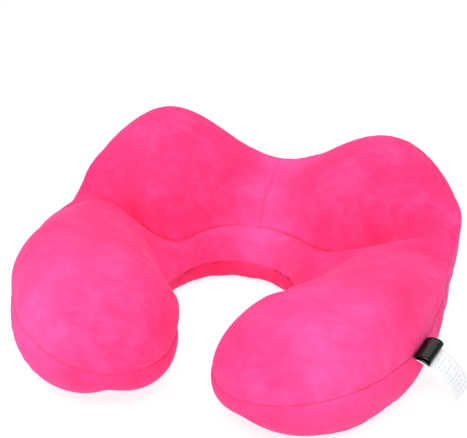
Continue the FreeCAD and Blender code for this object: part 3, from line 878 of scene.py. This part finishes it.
# ---------- tab and care label ----------
labelLook = {"wide": 33.0, "run": [(1, -2.0), (8, -4.2), (17, -9), (29, -16.5), (37, -26), (43, -37)],
             "thick": 0.35, "cupMm": 2.4}
tabLook = {"wide": 33.0, "thick": 0.5, "run": [(-2, -0.5), (1, 1.6), (6, 2.8), (11, 2.4), (14.2, 0.6), (15.0, -1.6),
                                              (14.2, -3.4), (12.2, -3.0), (9, -1.8), (5, -1.2), (0, -1.6)]}
tabAt = 0.905


def ribbon(name, look, at, material, cells, across, cup, twist=0.0):
    before, after = skinPoint(at - 0.01, 8.0), skinPoint(at + 0.01, 8.0)
    root, along = (before + after) / 2, (after - before)
    along = Vector((along.x, along.y, 0)).normalized()
    out = Vector((-along.y, along.x, 0))
    if out.x < 0:
        out = -out
    run = look["run"]
    knots = np.arange(len(run), dtype=float)
    outward, upward = naturalSpline(knots, [r[0] + 1.0 for r in run]), naturalSpline(knots, [r[1] for r in run])
    fine = np.linspace(0, len(run) - 1, 400)
    length = np.concatenate([[0], np.cumsum(np.hypot(np.diff(outward(fine)), np.diff(upward(fine))))])
    points, places = [], []
    for i in range(cells + 1):
        k = float(np.interp(length[-1] * i / cells, length, fine))
        share = i / cells
        for j in range(across + 1):
            s = 2 * j / across - 1
            rise = cup * (s * s) * share + twist * s * share * share
            points.append(root + out * (float(outward(k)) * mm) + along * (s * look["wide"] / 2 * mm) +
                          Vector((0, 0, (float(upward(k)) + rise) * mm)))
            places.append((look["wide"] * mm * j / across, length[-1] * mm * share))
    wide = across + 1
    faces = [(i * wide + j, (i + 1) * wide + j, (i + 1) * wide + j + 1, i * wide + j + 1)
             for i in range(cells) for j in range(across)]
    piece = addPiece(name, points, faces, material)
    layer = piece.data.uv_layers.new(name="weave")
    for loop in piece.data.loops:
        layer.data[loop.index].uv = places[loop.vertex_index]
    thick = piece.modifiers.new("cloth", "SOLIDIFY")
    thick.thickness, thick.offset = look["thick"] * mm, 0.0
    return piece, length[-1]


def makeLabelCloth():
    # coated satin label: slightly glossy white with faint grey printed rules and a ruled box, no words
    material, tree = newMaterial("whiteCareSatin")
    place = addNode(tree, "ShaderNodeTexCoord").outputs["UV"]
    split = addNode(tree, "ShaderNodeSeparateXYZ", {"Vector": place})
    ruleMm, ruleEvery = 0.8, 4.2
    lines = addNode(tree, "ShaderNodeMath", {0: split.outputs["Y"], 1: ruleEvery * mm}, operation="MODULO")
    ink = addNode(tree, "ShaderNodeMath", {0: lines.outputs[0], 1: ruleMm * mm}, operation="LESS_THAN")
    left = addNode(tree, "ShaderNodeMath", {0: split.outputs["X"], 1: 4 * mm}, operation="GREATER_THAN")
    right = addNode(tree, "ShaderNodeMath", {0: split.outputs["X"], 1: 25 * mm}, operation="LESS_THAN")
    start = addNode(tree, "ShaderNodeMath", {0: split.outputs["Y"], 1: 17 * mm}, operation="GREATER_THAN")
    stop = addNode(tree, "ShaderNodeMath", {0: split.outputs["Y"], 1: 52 * mm}, operation="LESS_THAN")
    mask = ink.outputs[0]
    for other in (left, right, start, stop):
        mask = addNode(tree, "ShaderNodeMath", {0: mask, 1: other.outputs[0]}, operation="MULTIPLY").outputs[0]
    broken = addNode(tree, "ShaderNodeTexNoise", {"Vector": place, "Scale": 1 / (3.0 * mm), "Detail": 0.0})
    dash = addNode(tree, "ShaderNodeMath", {0: broken.outputs[0], 1: 0.44}, operation="GREATER_THAN")
    faint = addNode(tree, "ShaderNodeMath", {0: mask, 1: dash.outputs[0]}, operation="MULTIPLY")
    faint = addNode(tree, "ShaderNodeMath", {0: faint.outputs[0], 1: 0.45}, operation="MULTIPLY")
    weave = addNode(tree, "ShaderNodeTexWave", {"Vector": place, "Scale": 0.159 / (0.6 * mm), "Distortion": 0.3})
    tint = addNode(tree, "ShaderNodeMix", {"Factor": faint.outputs[0], "A": hexColour("#eef0f2"),
                                           "B": hexColour("#8b8d92")}, data_type="RGBA")
    bump = addNode(tree, "ShaderNodeBump", {"Height": weave.outputs[1], "Strength": 0.4, "Distance": 0.03 * mm})
    rough = addNode(tree, "ShaderNodeMapRange", {"Value": weave.outputs[1], "To Min": 0.40, "To Max": 0.52})
    closeMaterial(tree, addNode(tree, "ShaderNodeBsdfPrincipled", {
        "Base Color": tint.outputs["Result"], "Roughness": rough.outputs[0], "Normal": bump.outputs[0]}))
    return material


labelCloth = makeLabelCloth()
careLabel, labelLong = ribbon("careLabel", labelLook, tabAt, labelCloth, 60, 16, 2.4, twist=3.0)
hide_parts("care_label")
sideTab, tabLong = ribbon("sideTab", tabLook, tabAt, satinBlack, 60, 12, 0.0)
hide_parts("side_tab")
print("label %.1f mm, tab %.1f mm long" % (labelLong, tabLong))

# ---------- floor, lights and camera ----------
studio = {"floorSize": 12.0, "floor": "#8f8f91", "world": 0.42}
floorMesh = bpy.data.meshes.new("floor")
reach = studio["floorSize"] / 2
floorMesh.from_pydata([(-reach, -reach, 0), (reach, -reach, 0), (reach, reach, 0), (-reach, reach, 0)], [],
                      [(0, 1, 2, 3)])
floor = bpy.data.objects.new("floor", floorMesh)
scene.collection.objects.link(floor)
floorPaint, floorTree = newMaterial("whiteStudioFloor")
closeMaterial(floorTree, addNode(floorTree, "ShaderNodeBsdfPrincipled",
                                 {"Base Color": hexColour(studio["floor"]), "Roughness": 0.6,
                                  "Emission Color": hexColour("#ffffff"), "Emission Strength": 0.82}))
floorMesh.materials.append(floorPaint)
world = bpy.data.worlds.new("studio")
scene.world = world
world.use_nodes = True
world.node_tree.nodes["Background"].inputs["Color"].default_value = (1, 1, 1, 1)
world.node_tree.nodes["Background"].inputs["Strength"].default_value = studio["world"]


def softbox(name, place, target, size, power):
    light = bpy.data.lights.new(name, "AREA")
    light.shape, light.size, light.size_y, light.energy = "RECTANGLE", size[0], size[1], power
    lamp = bpy.data.objects.new(name, light)
    lamp.location = place
    lamp.rotation_euler = (Vector(target) - Vector(place)).to_track_quat("-Z", "Y").to_euler()
    scene.collection.objects.link(lamp)


softbox("keySoftbox", (0.2, -1.2, 1.9), (0, 0, 0.05), (1.3, 0.8), 42)
softbox("fillSoftbox", (-1.5, -1.5, 0.6), (0, 0, 0.05), (1.2, 0.9), 11)
softbox("backSoftbox", (0.3, 1.5, 1.2), (0, 0, 0.05), (1.4, 0.8), 6)

view = {"azimuth": 16.5, "elevation": 32.2, "distance": 1.281, "lens": 96.02,
        "target": (-0.0304, 0.0428, 0.0934)}
cameraData = bpy.data.cameras.new("camera")
cameraData.lens, cameraData.sensor_width = view["lens"], 36.0
camera = bpy.data.objects.new("camera", cameraData)
turn, rise = math.radians(view["azimuth"]), math.radians(view["elevation"])
back = Vector((math.sin(turn) * math.cos(rise), -math.cos(turn) * math.cos(rise), math.sin(rise)))
camera.location = Vector(view["target"]) + back * view["distance"]
camera.rotation_euler = (-back).to_track_quat("-Z", "Y").to_euler()
scene.collection.objects.link(camera)
scene.camera = camera
scene.view_settings.view_transform = "Standard"
print("stage set")
